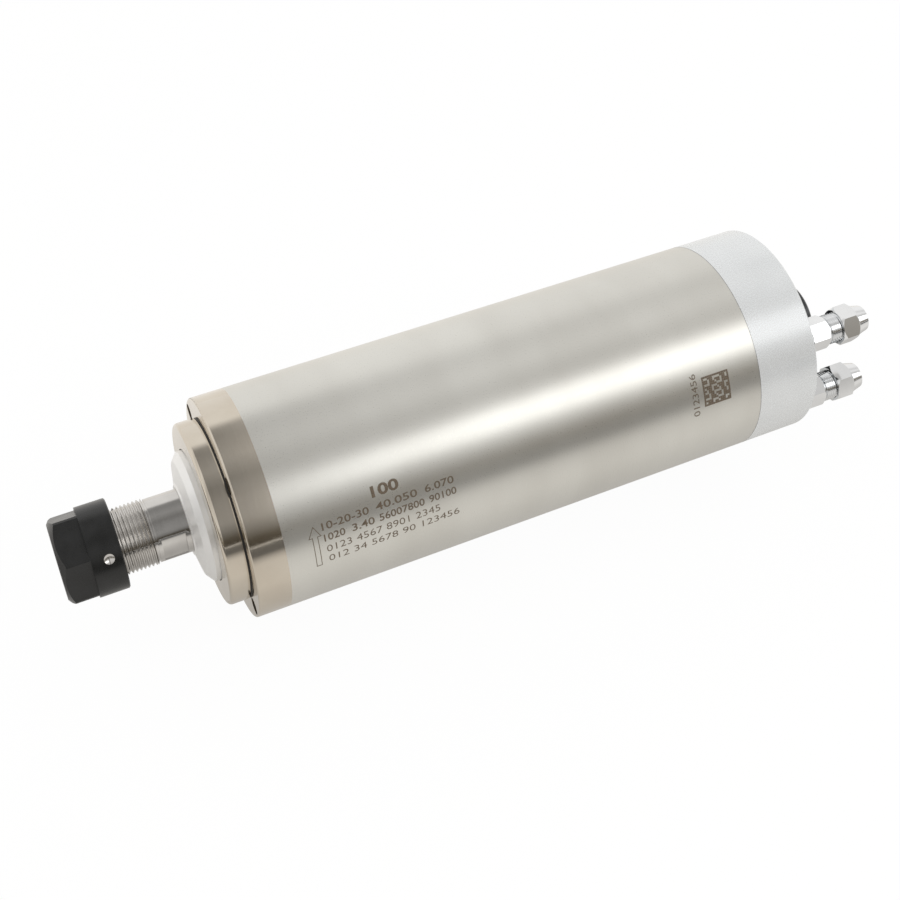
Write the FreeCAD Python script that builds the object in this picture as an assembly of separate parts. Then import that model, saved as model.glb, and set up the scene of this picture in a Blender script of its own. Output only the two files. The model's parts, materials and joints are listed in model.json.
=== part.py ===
"""Water-cooled motor spindle for a router: an 85 mm round body with a collet nose and rear water fittings.

Millimetres. The spindle axis is X: the collet nose points to -X, the fittings and the power socket to +X.
The origin is on the spindle axis, at the front end of the clamping casing, where it meets the front flange.
Angles about the axis are in degrees, from +Y towards +Z.
"""

import FreeCAD
import Part

import math
import os

V = FreeCAD.Vector
AXIS = V(1, 0, 0)

# Body
BODY_R = 42.5
BODY_LEN = 235.0
FLANGE_LEN = 12.5
REAR_CAP_LEN = 26.5
CASING_WALL = 1.5
CASING_LEN = BODY_LEN - FLANGE_LEN - REAR_CAP_LEN
FLANGE_FACE_X = -FLANGE_LEN
REAR_FACE_X = CASING_LEN + REAR_CAP_LEN
FRONT_EDGE_ROUND = 0.7
REAR_EDGE_CHAMFER = 0.6

# Fits
SEAT_GAP = 0.03
RUNNING_GAP = 0.05
THREAD_GAP = 0.06
LABYRINTH_GAP = 0.45

# Water jacket
JACKET_WALL = 8.0
JACKET_SEAT_STEP = 1.3
CHANNEL_DEPTH = 3.0
CHANNEL_COUNT = 10
CHANNEL_FILL = 0.66
CHANNEL_END_MARGIN = 22.0
CHANNEL_TURN_LEN = 12.0
CHANNEL_START_ANGLE = 193.0
JACKET_PORT_R = 1.8
JACKET_PORT_DEPTH = 4.1
JACKET_PORT_SETBACK = 4.0
JACKET_SEAL_X = 15.0

# Body screws: socket head M3, front and rear
SCREW_COUNT = 4
SCREW_INSET = 4.1
SCREW_R = 1.5
SCREW_HEAD_R = 2.75
SCREW_HEAD_LEN = 3.0
SCREW_SOCKET_AF = 2.5
SCREW_SOCKET_DEPTH = 1.5
COUNTERBORE_R = 3.3
COUNTERBORE_DEPTH = 4.2
SCREW_GRIP = 10.0
FRONT_SCREW_ANGLE = 33.0
REAR_SCREW_ANGLE = 85.0

# Seals
SEAL_SECTION_R = 0.8
SEAL_SQUEEZE_ROOM = 0.05

# Front bearings, 25 x 47 x 12
FRONT_BORE_R = 12.5
FRONT_OUTER_R = 23.5
FRONT_WIDTH = 12.0
FRONT_BALL_R = 3.2
FRONT_BALL_COUNT = 13
FRONT_BEARING_X = -6.0
FRONT_SPACER_LEN = 2.0

# Rear bearings, 15 x 32 x 9
REAR_BORE_R = 7.5
REAR_OUTER_R = 16.0
REAR_WIDTH = 9.0
REAR_BALL_R = 2.38
REAR_BALL_COUNT = 11
REAR_SPACER_LEN = 2.0

# Bearing rings and cages, as shares of the ball
GROOVE_GAP = 0.05
RING_SHOULDER = 0.60
CAGE_HALF_HEIGHT = 0.42
CAGE_HALF_WIDTH = 1.22
CAGE_GAP = 0.08

# Front bearing cap
CAP_STEP = 7.5
CAP_LEN = 8.2
CAP_EDGE_ROUND = 1.5
CAP_UNDERCUT = 0.7
CAP_SPIGOT_STEP = 6.0
CAP_WEB_LEN = 2.0
CAP_PRESS_WIDTH = 3.0
FLANGE_BACK_LIP = 3.0
FLANGE_SPIGOT_END = 24.0

# Dust ring on the shaft
RING_R = 25.0
RING_PROUD = 1.9
RING_CHAMFER_R = 22.0
RING_CHAMFER_LEN = 2.3
RING_CONE_LEN = 2.0
RING_HUB_R = 14.0
RING_WEB = 4.4
RING_SKIRT = 2.6
RING_SLEEVE_R = 15.0

# Shaft
NOSE_SHANK_R = 12.0
NOSE_THREAD_R = 12.5
NOSE_PITCH = 1.5
THREAD_RELIEF_LEN = 0.8
THREAD_RELIEF_DEPTH = 1.1
THREAD_START_X = -40.0
NOSE_END_X = -67.2
NOSE_CHAMFER = 0.8
TAPER_HALF_ANGLE = 8.0
BACK_BORE_R = 6.8
BACK_BORE_END_X = -14.0
FLATS_AF = 21.0
FLATS_LEN = 9.0
FLATS_SETBACK = 1.4
FLATS_ANGLE = 182.0
SHAFT_SHOULDER_STEP = 1.5
ROTOR_SEAT_SHARE = 0.7
SHAFT_TAIL_R = 10.0
SHAFT_END_PROUD = 2.6

# Collet and its nut
COLLET_LEN = 31.5
COLLET_MAX_R = 10.5
COLLET_FRONT_R = 8.1
COLLET_HEAD_R = 9.9
COLLET_HEAD_ANGLE = 30.0
COLLET_GROOVE_R = 8.8
COLLET_GROOVE_LEN = 1.9
COLLET_BORE_R = 3.0
COLLET_RELIEF_R = 3.6
COLLET_GRIP_LEN = 20.0
COLLET_SLOT = 0.6
COLLET_SLOTS_PER_END = 8
COLLET_BRIDGE = 4.0
COLLET_RECESS = 0.8
NUT_R = 17.0
NUT_LEN = 22.0
NUT_BACK_X = -52.2
NUT_AF = 30.0
NUT_HEX_LEN = 10.8
NUT_CORNER_ANGLE = 141.5
NUT_FACE_R = 14.0
NUT_CHAMFER_LEN = 2.1
NUT_MOUTH_R = 8.6
NUT_RIM_R = 9.2
NUT_RIM_LEN = 0.9
BALANCE_HOLE_R = 2.0
BALANCE_HOLE_DEPTH = 1.3
BALANCE_HOLE_SETBACK = 4.9
BALANCE_HOLE_ANGLE = 148.5

# Motor
STACK_SHARE = 0.45
STATOR_RATIO = 1.65
AIR_GAP = 0.45
SLOT_COUNT = 24
SLOT_MOUTH = 1.6
SLOT_WIDTH = 2.8
SLOT_LIP = 1.2
STATOR_YOKE = 4.0
WINDING_GAP = 0.15
WINDING_OVERHANG = 14.0
WINDING_WALL_GAP = 2.0
WINDING_REAR_GAP = 0.5
WINDING_SINK = 1.0
ROTOR_BAR_COUNT = 18
ROTOR_BAR_WIDTH = 2.4
ROTOR_BAR_HEIGHT = 3.2
ROTOR_BRIDGE = 0.6
END_RING_LEN = 7.0
ROTOR_SHOULDER_LEN = 7.0

# Rear bearing carrier
CARRIER_LEN = 26.0
CARRIER_SETBACK = 4.5
CARRIER_LIP = 2.5
CARRIER_RIM_LEN = 15.5
CARRIER_THROAT_R = 12.6
LEAD_PORT_R = 4.5
LOCK_NUT_LEN = 6.0
LOCK_NUT_R = 12.0
LOCK_NUT_SLOT = 3.0
LOCK_NUT_SLOT_DEPTH = 1.4
SPRING_WAVES = 3
SPRING_THICKNESS = 0.5
SPRING_ROOM = 2.4
SPRING_WIDTH = 2.8
SPRING_EDGE_GAP = 0.2

# Rear cap
SOCKET_NUT_ROOM = 2.45
REAR_MOUTH_STEP = 4.0
REAR_MOUTH_LEN = 9.5
REAR_WALL = 8.0

# Water fittings
FITTING_INSET = 8.5
FITTING_ANGLES = {"outlet": 148.5, "inlet": 199.3}
FITTING_HEX_ANGLES = {"outlet": 133.0, "inlet": 181.0}
FITTING_NUT_ANGLES = {"outlet": 150.0, "inlet": 160.0}
FITTING_STUB_R = 4.8
FITTING_STUB_LEN = 9.0
FITTING_HEX_AF = 12.0
FITTING_HEX_LEN = 8.5
FITTING_THREAD_R = 6.0
FITTING_THREAD_LEN = 12.1
FITTING_PITCH = 1.0
FITTING_WATER_R = 2.8
FITTING_HEX_CHAMFER = 2.0
FITTING_HOLE_SPARE = 1.0
HOSE_R = 4.0
HOSE_SOCKET_DEPTH = 9.0
WASHER_LEN = 1.0
WASHER_R = 6.6
HOSE_NUT_AF = 14.0
HOSE_NUT_HEX_LEN = 8.0
HOSE_NUT_NOSE_LEN = 4.8
HOSE_NUT_NOSE_R = 6.4
HOSE_NUT_TIP_R = 5.2
HOSE_NUT_BACK = 5.6
HOSE_NUT_CHAMFER_SHARE = 1.5
FERRULE_LEN = 3.6
FERRULE_R = 5.1
FERRULE_TIP_WALL = 0.6
FERRULE_CONE_GAP = 0.1
CROSS_PORT_X = 10.0
DRILL_OVERRUN = 0.8

# Power socket
SOCKET_R = 15.3
SOCKET_HEIGHT = 17.5
SOCKET_FLANGE_R = 17.5
SOCKET_FLANGE_LEN = 3.0
SOCKET_BORE_R = 12.8
SOCKET_STEM_R = 13.0
SOCKET_FLOOR = 6.0
SOCKET_GASKET = 0.8
SOCKET_NUT_LEN = 3.0
SOCKET_NUT_R = 16.5
PIN_COUNT = 4
PIN_R = 1.25
PIN_PCD_R = 6.5
PIN_REACH = 6.2
SOLDER_CUP_LEN = 5.0
KEY_WIDTH = 3.0
KEY_HEIGHT = 1.2
KEY_SETBACK = 2.0
SOCKET_WALL = 2.0
SOCKET_STEM_SPARE = 1.0
SOCKET_GASKET_STEP = 0.3
LEAD_R = 1.3
LEAD_BEND_R = 9.0
LEAD_TURN_LEN = 3.0
LEAD_CROSS_LEN = 10.0


def polar(radius, angle):
    """Y and Z of a point at a radius and an angle about the spindle axis."""
    turn = math.radians(angle)
    return radius * math.cos(turn), radius * math.sin(turn)


def revolved(points, sweep=360.0, start=0.0):
    """A solid turned about the spindle axis from (x, radius) points."""
    corners = [V(x, r, 0) for x, r in points]
    face = Part.Face(Part.makePolygon(corners + corners[:1]))
    solid = face.revolve(V(0, 0, 0), AXIS, sweep)
    solid.rotate(V(0, 0, 0), AXIS, start)
    return solid


def ring(x0, x1, inner, outer):
    """A plain ring, or a disc where the inner radius is zero."""
    return revolved([(x0, inner), (x1, inner), (x1, outer), (x0, outer)])


def rod(x0, x1, radius, y=0.0, z=0.0):
    """A cylinder along X."""
    return Part.makeCylinder(radius, x1 - x0, V(x0, y, z), AXIS)


def hexagon(x0, x1, across_flats, y, z, flat_angle):
    """A hexagonal bar along X, with one flat facing flat_angle."""
    corner = across_flats / math.sqrt(3)
    points = []
    for k in range(6):
        dy, dz = polar(corner, flat_angle + 30 + 60 * k)
        points.append(V(x0, y + dy, z + dz))
    face = Part.Face(Part.makePolygon(points + points[:1]))
    return face.extrude(V(x1 - x0, 0, 0))


def around(tool, count, start=0.0):
    """Copies of a tool, evenly spaced about the spindle axis."""
    copies = []
    for k in range(count):
        copy = tool.copy()
        copy.rotate(V(0, 0, 0), AXIS, start + 360.0 * k / count)
        copies.append(copy)
    return copies


def rounded(solid, radius, x, r):
    """The solid with the edges round that lie at one station and radius."""
    edges = [
        e
        for e in solid.Edges
        if hasattr(e.Curve, "Radius")
        and abs(e.Curve.Radius - r) < 1e-3
        and abs(e.BoundBox.XMin - x) < 1e-3
        and abs(e.BoundBox.XMax - x) < 1e-3
    ]
    return solid.makeFillet(radius, edges)


def compound(solids):
    """Several separate solids as one shape."""
    return Part.makeCompound(solids)


def seal_ring(x, inner_seat, outer_seat):
    """An O-ring lying between two round seats."""
    middle = (inner_seat + outer_seat) / 2
    section = (outer_seat - inner_seat) / 2 - SEAL_SQUEEZE_ROOM / 2
    return Part.makeTorus(middle, section, V(x, 0, 0), AXIS)


JACKET_R = BODY_R - CASING_WALL
JACKET_BORE_R = JACKET_R - JACKET_WALL
JACKET_SEAT_R = JACKET_BORE_R + JACKET_SEAT_STEP
JACKET_PORT_RADIUS = JACKET_R - JACKET_PORT_DEPTH
SCREW_PCD_R = BODY_R - SCREW_INSET
CAP_R = BODY_R - CAP_STEP
CAP_SPIGOT_R = CAP_R - CAP_SPIGOT_STEP
SLOT_BOTTOM_R = JACKET_BORE_R - STATOR_YOKE
WINDING_OUTER_R = JACKET_BORE_R - WINDING_WALL_GAP
STATOR_BORE_R = JACKET_BORE_R / STATOR_RATIO
ROTOR_SEAT_R = STATOR_BORE_R * ROTOR_SEAT_SHARE
SHAFT_SHOULDER_R = ROTOR_SEAT_R + SHAFT_SHOULDER_STEP
REAR_MOUTH_R = JACKET_BORE_R - REAR_MOUTH_STEP
LEAD_PORT_RADIUS = REAR_MOUTH_R - LEAD_PORT_R
REAR_CAVITY_R = 2 * SOCKET_NUT_R / math.sqrt(3) + SOCKET_NUT_ROOM
FITTING_RADIUS = BODY_R - FITTING_INSET
SEAL_GROOVE = 2 * SEAL_SECTION_R
FLANGE_SPIGOT_R = JACKET_BORE_R - SEAT_GAP
FRONT_SEAL_X = FLANGE_SPIGOT_END / 2
CARRIER_R = JACKET_SEAT_R - SEAT_GAP
CARRIER_END_X = CASING_LEN - CARRIER_SETBACK
CARRIER_X = CARRIER_END_X - CARRIER_LEN
CARRIER_SHOULDER_X = CARRIER_END_X - CARRIER_RIM_LEN
REAR_BEARING_X = CARRIER_X + CARRIER_LIP + SPRING_ROOM
REAR_SEAL_X = (CARRIER_SHOULDER_X + CARRIER_END_X) / 2
STACK_LEN = CASING_LEN * STACK_SHARE
STACK_END_X = CARRIER_X - WINDING_REAR_GAP - WINDING_OVERHANG
STACK_X = STACK_END_X - STACK_LEN
NUT_FRONT_X = NUT_BACK_X - NUT_LEN
COLLET_FRONT_X = NUT_FRONT_X + COLLET_RECESS
FRONT_STACK_END = FRONT_BEARING_X + 2 * FRONT_WIDTH + FRONT_SPACER_LEN
REAR_STACK_END = REAR_BEARING_X + 2 * REAR_WIDTH + REAR_SPACER_LEN
SHAFT_END_X = REAR_STACK_END + LOCK_NUT_LEN + SHAFT_END_PROUD
CAP_FACE_X = FLANGE_FACE_X - CAP_LEN
CAP_POCKET_X = FLANGE_FACE_X - CAP_WEB_LEN


def outer_casing():
    return ring(0, CASING_LEN, JACKET_R, BODY_R)


def screw_holes(x0, x1, radius, start):
    y, z = polar(SCREW_PCD_R, 0)
    return around(rod(x0, x1, radius, y, z), SCREW_COUNT, start)


def body_screw(head_x, direction):
    """One socket head screw. Its head's outer face is at head_x and it points along direction."""
    y, z = polar(SCREW_PCD_R, 0)
    shank_len = COUNTERBORE_DEPTH + SCREW_GRIP
    screw = Part.makeCylinder(SCREW_HEAD_R, SCREW_HEAD_LEN, V(0, y, z), AXIS)
    screw = screw.fuse(rod(SCREW_HEAD_LEN, SCREW_HEAD_LEN + shank_len, SCREW_R - SEAT_GAP, y, z))
    screw = screw.cut(hexagon(0, SCREW_SOCKET_DEPTH, SCREW_SOCKET_AF, y, z, 0))
    if direction < 0:
        screw = screw.mirror(V(0, 0, 0), AXIS)
    screw.translate(V(head_x, 0, 0))
    return screw


def flange_screws():
    head_x = FLANGE_FACE_X + COUNTERBORE_DEPTH - SCREW_HEAD_LEN
    return compound(around(body_screw(head_x, 1), SCREW_COUNT, FRONT_SCREW_ANGLE))


def rear_cap_screws():
    head_x = REAR_FACE_X - COUNTERBORE_DEPTH + SCREW_HEAD_LEN
    y, z = polar(SCREW_PCD_R, 0)
    screw = body_screw(head_x, -1)
    reach = REAR_CAP_LEN + SCREW_GRIP - COUNTERBORE_DEPTH
    x1 = REAR_FACE_X - COUNTERBORE_DEPTH
    screw = screw.fuse(rod(x1 - reach, x1, SCREW_R - SEAT_GAP, y, z)).removeSplitter()
    return compound(around(screw, SCREW_COUNT, REAR_SCREW_ANGLE))


def front_flange():
    """The polished front bearing housing: a plate on the casing's end, with a spigot inside the jacket."""
    bore = FRONT_OUTER_R + SEAT_GAP
    lip = FRONT_OUTER_R - FLANGE_BACK_LIP
    groove = FRONT_SEAL_X
    half = SEAL_GROOVE / 2 + SEAL_SQUEEZE_ROOM
    groove_r = FLANGE_SPIGOT_R - SEAL_GROOVE
    body = revolved([
        (FLANGE_FACE_X, CAP_SPIGOT_R + SEAT_GAP),
        (FRONT_BEARING_X, CAP_SPIGOT_R + SEAT_GAP),
        (FRONT_BEARING_X, bore),
        (FRONT_STACK_END, bore),
        (FRONT_STACK_END, lip),
        (FLANGE_SPIGOT_END, lip),
        (FLANGE_SPIGOT_END, FLANGE_SPIGOT_R),
        (groove + half, FLANGE_SPIGOT_R),
        (groove + half, groove_r),
        (groove - half, groove_r),
        (groove - half, FLANGE_SPIGOT_R),
        (0, FLANGE_SPIGOT_R),
        (0, BODY_R),
        (FLANGE_FACE_X, BODY_R),
    ])
    body = rounded(body, FRONT_EDGE_ROUND, FLANGE_FACE_X, BODY_R)
    recess_end = FLANGE_FACE_X + COUNTERBORE_DEPTH
    body = body.cut(screw_holes(FLANGE_FACE_X, recess_end, COUNTERBORE_R, FRONT_SCREW_ANGLE))
    return body.cut(screw_holes(recess_end, 0, SCREW_R, FRONT_SCREW_ANGLE))


def front_bearing_cap():
    """The gland that closes the front bearing housing. The dust ring turns inside its pocket."""
    pocket = RING_R + LABYRINTH_GAP
    throat = RING_SLEEVE_R + LABYRINTH_GAP
    press = FRONT_OUTER_R - CAP_PRESS_WIDTH
    undercut_r = CAP_R - CAP_UNDERCUT
    body = revolved([
        (CAP_FACE_X, pocket),
        (CAP_POCKET_X, pocket),
        (CAP_POCKET_X, throat),
        (FLANGE_FACE_X + CAP_WEB_LEN, throat),
        (FLANGE_FACE_X + CAP_WEB_LEN, press),
        (FRONT_BEARING_X, press),
        (FRONT_BEARING_X, CAP_SPIGOT_R),
        (FLANGE_FACE_X, CAP_SPIGOT_R),
        (FLANGE_FACE_X, undercut_r),
        (FLANGE_FACE_X - CAP_UNDERCUT, undercut_r),
        (FLANGE_FACE_X - CAP_UNDERCUT, CAP_R),
        (CAP_FACE_X, CAP_R),
    ])
    return rounded(body, CAP_EDGE_ROUND, CAP_FACE_X, CAP_R)


def channel_sector(x0, x1, sweep, start):
    return revolved(
        [(x0, JACKET_R - CHANNEL_DEPTH), (x1, JACKET_R - CHANNEL_DEPTH), (x1, BODY_R), (x0, BODY_R)],
        sweep,
        start,
    )


def jacket_port_angle(name):
    """The first and the last channel are the outlet's and the inlet's."""
    pitch = 360.0 / CHANNEL_COUNT
    return CHANNEL_START_ANGLE if name == "inlet" else CHANNEL_START_ANGLE - pitch


def cooling_jacket():
    """The sleeve round the stator. Its channels run to and fro in one serpentine, from inlet to outlet."""
    body = ring(0, CASING_LEN, JACKET_BORE_R, JACKET_R - SEAT_GAP)
    body = body.cut(rod(CARRIER_SHOULDER_X, CASING_LEN, JACKET_SEAT_R))
    pitch = 360.0 / CHANNEL_COUNT
    width = pitch * CHANNEL_FILL
    x0 = CHANNEL_END_MARGIN
    x1 = CASING_LEN - CHANNEL_END_MARGIN
    tools = []
    for k in range(CHANNEL_COUNT):
        start = CHANNEL_START_ANGLE + pitch * k - width / 2
        tools.append(channel_sector(x0, x1, width, start))
        if k < CHANNEL_COUNT - 1:
            turn_x = x0 if k % 2 == 0 else x1 - CHANNEL_TURN_LEN
            tools.append(channel_sector(turn_x, turn_x + CHANNEL_TURN_LEN, width + pitch, start))
    body = body.cut(tools)
    for x in (JACKET_SEAL_X, CASING_LEN - JACKET_SEAL_X):
        half = SEAL_GROOVE / 2 + SEAL_SQUEEZE_ROOM
        body = body.cut(ring(x - half, x + half, JACKET_R - SEAL_GROOVE, BODY_R))
    for name in FITTING_ANGLES:
        y, z = polar(JACKET_PORT_RADIUS, jacket_port_angle(name))
        port_x = x1 - JACKET_PORT_SETBACK
        riser = Part.makeCylinder(JACKET_PORT_R, CHANNEL_DEPTH, V(port_x, y, z), V(0, y, z))
        body = body.cut([rod(port_x, CASING_LEN, JACKET_PORT_R, y, z), riser])
    body = body.cut(screw_holes(0, SCREW_GRIP + SCREW_HEAD_LEN, SCREW_R, FRONT_SCREW_ANGLE))
    tail = CASING_LEN - SCREW_GRIP - SCREW_HEAD_LEN
    return body.cut(screw_holes(tail, CASING_LEN, SCREW_R, REAR_SCREW_ANGLE))


def front_seals():
    inner = seal_ring(FRONT_SEAL_X, FLANGE_SPIGOT_R - SEAL_GROOVE, JACKET_BORE_R)
    outer = seal_ring(JACKET_SEAL_X, JACKET_R - SEAL_GROOVE, JACKET_R)
    return compound([inner, outer])


def rear_seals():
    inner = seal_ring(REAR_SEAL_X, CARRIER_R - SEAL_GROOVE, JACKET_SEAT_R)
    outer = seal_ring(CASING_LEN - JACKET_SEAL_X, JACKET_R - SEAL_GROOVE, JACKET_R)
    return compound([inner, outer])


class Bearing:
    """An angular contact ball bearing. Its open side faces the nose or the tail."""

    def __init__(self, x, bore_r, outer_r, width, ball_r, count, open_side):
        self.x0, self.x1 = x, x + width
        self.middle = x + width / 2
        self.bore_r, self.outer_r = bore_r, outer_r
        self.pitch_r = (bore_r + outer_r) / 2
        self.ball_r, self.count = ball_r, count
        self.open_side = open_side

    def groove(self):
        return Part.makeTorus(self.pitch_r, self.ball_r + GROOVE_GAP, V(self.middle, 0, 0), AXIS)

    def inner_ring(self):
        shoulder = self.pitch_r - RING_SHOULDER * self.ball_r
        return ring(self.x0, self.x1, self.bore_r + SEAT_GAP / 3, shoulder).cut(self.groove())

    def outer_ring(self):
        shoulder = self.pitch_r + RING_SHOULDER * self.ball_r
        relieved = self.pitch_r + 0.85 * self.ball_r
        points = [(self.x0, shoulder), (self.middle, shoulder), (self.x1, relieved)]
        points += [(self.x1, self.outer_r), (self.x0, self.outer_r)]
        body = revolved(points).cut(self.groove())
        if self.open_side < 0:
            body = body.mirror(V(self.middle, 0, 0), AXIS)
        return body

    def cage(self):
        """The cage, a ring with one pocket for each ball."""
        half = CAGE_HALF_WIDTH * self.ball_r
        height = CAGE_HALF_HEIGHT * self.ball_r
        body = ring(self.middle - half, self.middle + half, self.pitch_r - height, self.pitch_r + height)
        pocket = Part.makeSphere(self.ball_r + CAGE_GAP, V(self.middle, self.pitch_r, 0))
        return body.cut(around(pocket, self.count))

    def balls(self):
        return around(Part.makeSphere(self.ball_r, V(self.middle, self.pitch_r, 0)), self.count)


def front_bearings():
    second = FRONT_BEARING_X + FRONT_WIDTH + FRONT_SPACER_LEN
    sizes = (FRONT_BORE_R, FRONT_OUTER_R, FRONT_WIDTH, FRONT_BALL_R, FRONT_BALL_COUNT)
    return [Bearing(FRONT_BEARING_X, *sizes, -1), Bearing(second, *sizes, -1)]


def rear_bearings():
    second = REAR_BEARING_X + REAR_WIDTH + REAR_SPACER_LEN
    sizes = (REAR_BORE_R, REAR_OUTER_R, REAR_WIDTH, REAR_BALL_R, REAR_BALL_COUNT)
    return [Bearing(REAR_BEARING_X, *sizes, 1), Bearing(second, *sizes, 1)]


def spacer(pair, inner, outer):
    return ring(pair[0].x1, pair[1].x0, inner, outer)


def inner_spacer(pair):
    return spacer(pair, pair[0].bore_r + SEAT_GAP / 3, pair[0].pitch_r - RING_SHOULDER * pair[0].ball_r)


def outer_spacer(pair):
    return spacer(pair, pair[0].pitch_r + RING_SHOULDER * pair[0].ball_r, pair[0].outer_r)


def taper_r(x, gap):
    """Radius of the collet taper at a station, with a gap for the socket."""
    collar_x = collet_collar_x()
    return COLLET_MAX_R - (x - collar_x) * math.tan(math.radians(TAPER_HALF_ANGLE)) + gap


def collet_collar_x():
    """Where the collet's front collar starts: behind its head cone and its groove."""
    head_len = (COLLET_HEAD_R - COLLET_FRONT_R) / math.tan(math.radians(COLLET_HEAD_ANGLE))
    return COLLET_FRONT_X + head_len + COLLET_GROOVE_LEN


def spindle_shaft():
    """The shaft: collet socket, nose thread, wrench flats, bearing seats and rotor seat, in one piece."""
    relief_r = NOSE_THREAD_R - THREAD_RELIEF_DEPTH
    ring_front = CAP_FACE_X - RING_PROUD - RING_CHAMFER_LEN - RING_CONE_LEN
    socket_end = collet_collar_x() + (COLLET_MAX_R - BACK_BORE_R) / math.tan(math.radians(TAPER_HALF_ANGLE))
    shoulder_end = STACK_X - END_RING_LEN - ROTOR_SHOULDER_LEN
    body = revolved([
        (NOSE_END_X, taper_r(NOSE_END_X, RUNNING_GAP)),
        (socket_end, BACK_BORE_R + RUNNING_GAP),
        (BACK_BORE_END_X, BACK_BORE_R + RUNNING_GAP),
        (BACK_BORE_END_X + BACK_BORE_R / 2, 0),
        (SHAFT_END_X, 0),
        (SHAFT_END_X, REAR_BORE_R - NOSE_CHAMFER),
        (SHAFT_END_X - NOSE_CHAMFER, REAR_BORE_R),
        (REAR_BEARING_X, REAR_BORE_R),
        (REAR_BEARING_X, SHAFT_TAIL_R),
        (STACK_END_X + END_RING_LEN, SHAFT_TAIL_R),
        (STACK_END_X + END_RING_LEN, ROTOR_SEAT_R),
        (shoulder_end, ROTOR_SEAT_R),
        (shoulder_end, SHAFT_SHOULDER_R),
        (FRONT_STACK_END, SHAFT_SHOULDER_R),
        (FRONT_STACK_END, FRONT_BORE_R),
        (ring_front, FRONT_BORE_R),
        (ring_front, NOSE_SHANK_R),
        (THREAD_START_X + THREAD_RELIEF_LEN, NOSE_SHANK_R),
        (THREAD_START_X + THREAD_RELIEF_LEN, relief_r),
        (THREAD_START_X, relief_r),
        (THREAD_START_X, NOSE_THREAD_R),
        (NOSE_END_X + NOSE_CHAMFER, NOSE_THREAD_R),
        (NOSE_END_X, NOSE_THREAD_R - NOSE_CHAMFER),
    ])
    flats_x = THREAD_START_X + THREAD_RELIEF_LEN + FLATS_SETBACK
    side = FLATS_AF / 2
    flat = Part.makeBox(FLATS_LEN, BODY_R, 2 * BODY_R, V(flats_x, side, -BODY_R))
    return body.cut(around(flat, 2, FLATS_ANGLE))


def dust_ring():
    """The bright slinger on the shaft: it clamps the front bearings and throws dust off."""
    front = CAP_FACE_X - RING_PROUD
    chamfer_x = front - RING_CHAMFER_LEN
    hub_x = chamfer_x - RING_CONE_LEN
    bore = FRONT_BORE_R + SEAT_GAP / 3
    skirt_end = CAP_POCKET_X - LABYRINTH_GAP
    return revolved([
        (hub_x, bore),
        (FRONT_BEARING_X, bore),
        (FRONT_BEARING_X, RING_SLEEVE_R),
        (chamfer_x + RING_WEB, RING_SLEEVE_R),
        (chamfer_x + RING_WEB, RING_R - RING_SKIRT),
        (skirt_end, RING_R - RING_SKIRT),
        (skirt_end, RING_R),
        (front, RING_R),
        (chamfer_x, RING_CHAMFER_R),
        (hub_x + RING_CONE_LEN / 4, RING_HUB_R),
        (hub_x, RING_HUB_R - RING_CONE_LEN / 3),
    ])


def collet():
    """The spring collet: head cone, groove for the nut's rim, long taper, and slots from both ends."""
    head_x = collet_collar_x() - COLLET_GROOVE_LEN
    collar_x = collet_collar_x()
    end_x = COLLET_FRONT_X + COLLET_LEN
    grip_x = COLLET_FRONT_X + COLLET_GRIP_LEN
    body = revolved([
        (COLLET_FRONT_X, COLLET_BORE_R),
        (grip_x, COLLET_BORE_R),
        (grip_x, COLLET_RELIEF_R),
        (end_x, COLLET_RELIEF_R),
        (end_x, taper_r(end_x, 0)),
        (collar_x, COLLET_MAX_R),
        (collar_x, COLLET_GROOVE_R),
        (head_x, COLLET_GROOVE_R),
        (head_x, COLLET_HEAD_R),
        (COLLET_FRONT_X, COLLET_FRONT_R),
    ])
    slot_len = COLLET_LEN - COLLET_BRIDGE
    reach = NUT_R
    front_slot = Part.makeBox(slot_len, reach, COLLET_SLOT, V(COLLET_FRONT_X, 0, -COLLET_SLOT / 2))
    rear_slot = Part.makeBox(slot_len, reach, COLLET_SLOT, V(end_x - slot_len, 0, -COLLET_SLOT / 2))
    half_pitch = 180.0 / COLLET_SLOTS_PER_END
    slots = around(front_slot, COLLET_SLOTS_PER_END) + around(rear_slot, COLLET_SLOTS_PER_END, half_pitch)
    return body.cut(slots)


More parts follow.
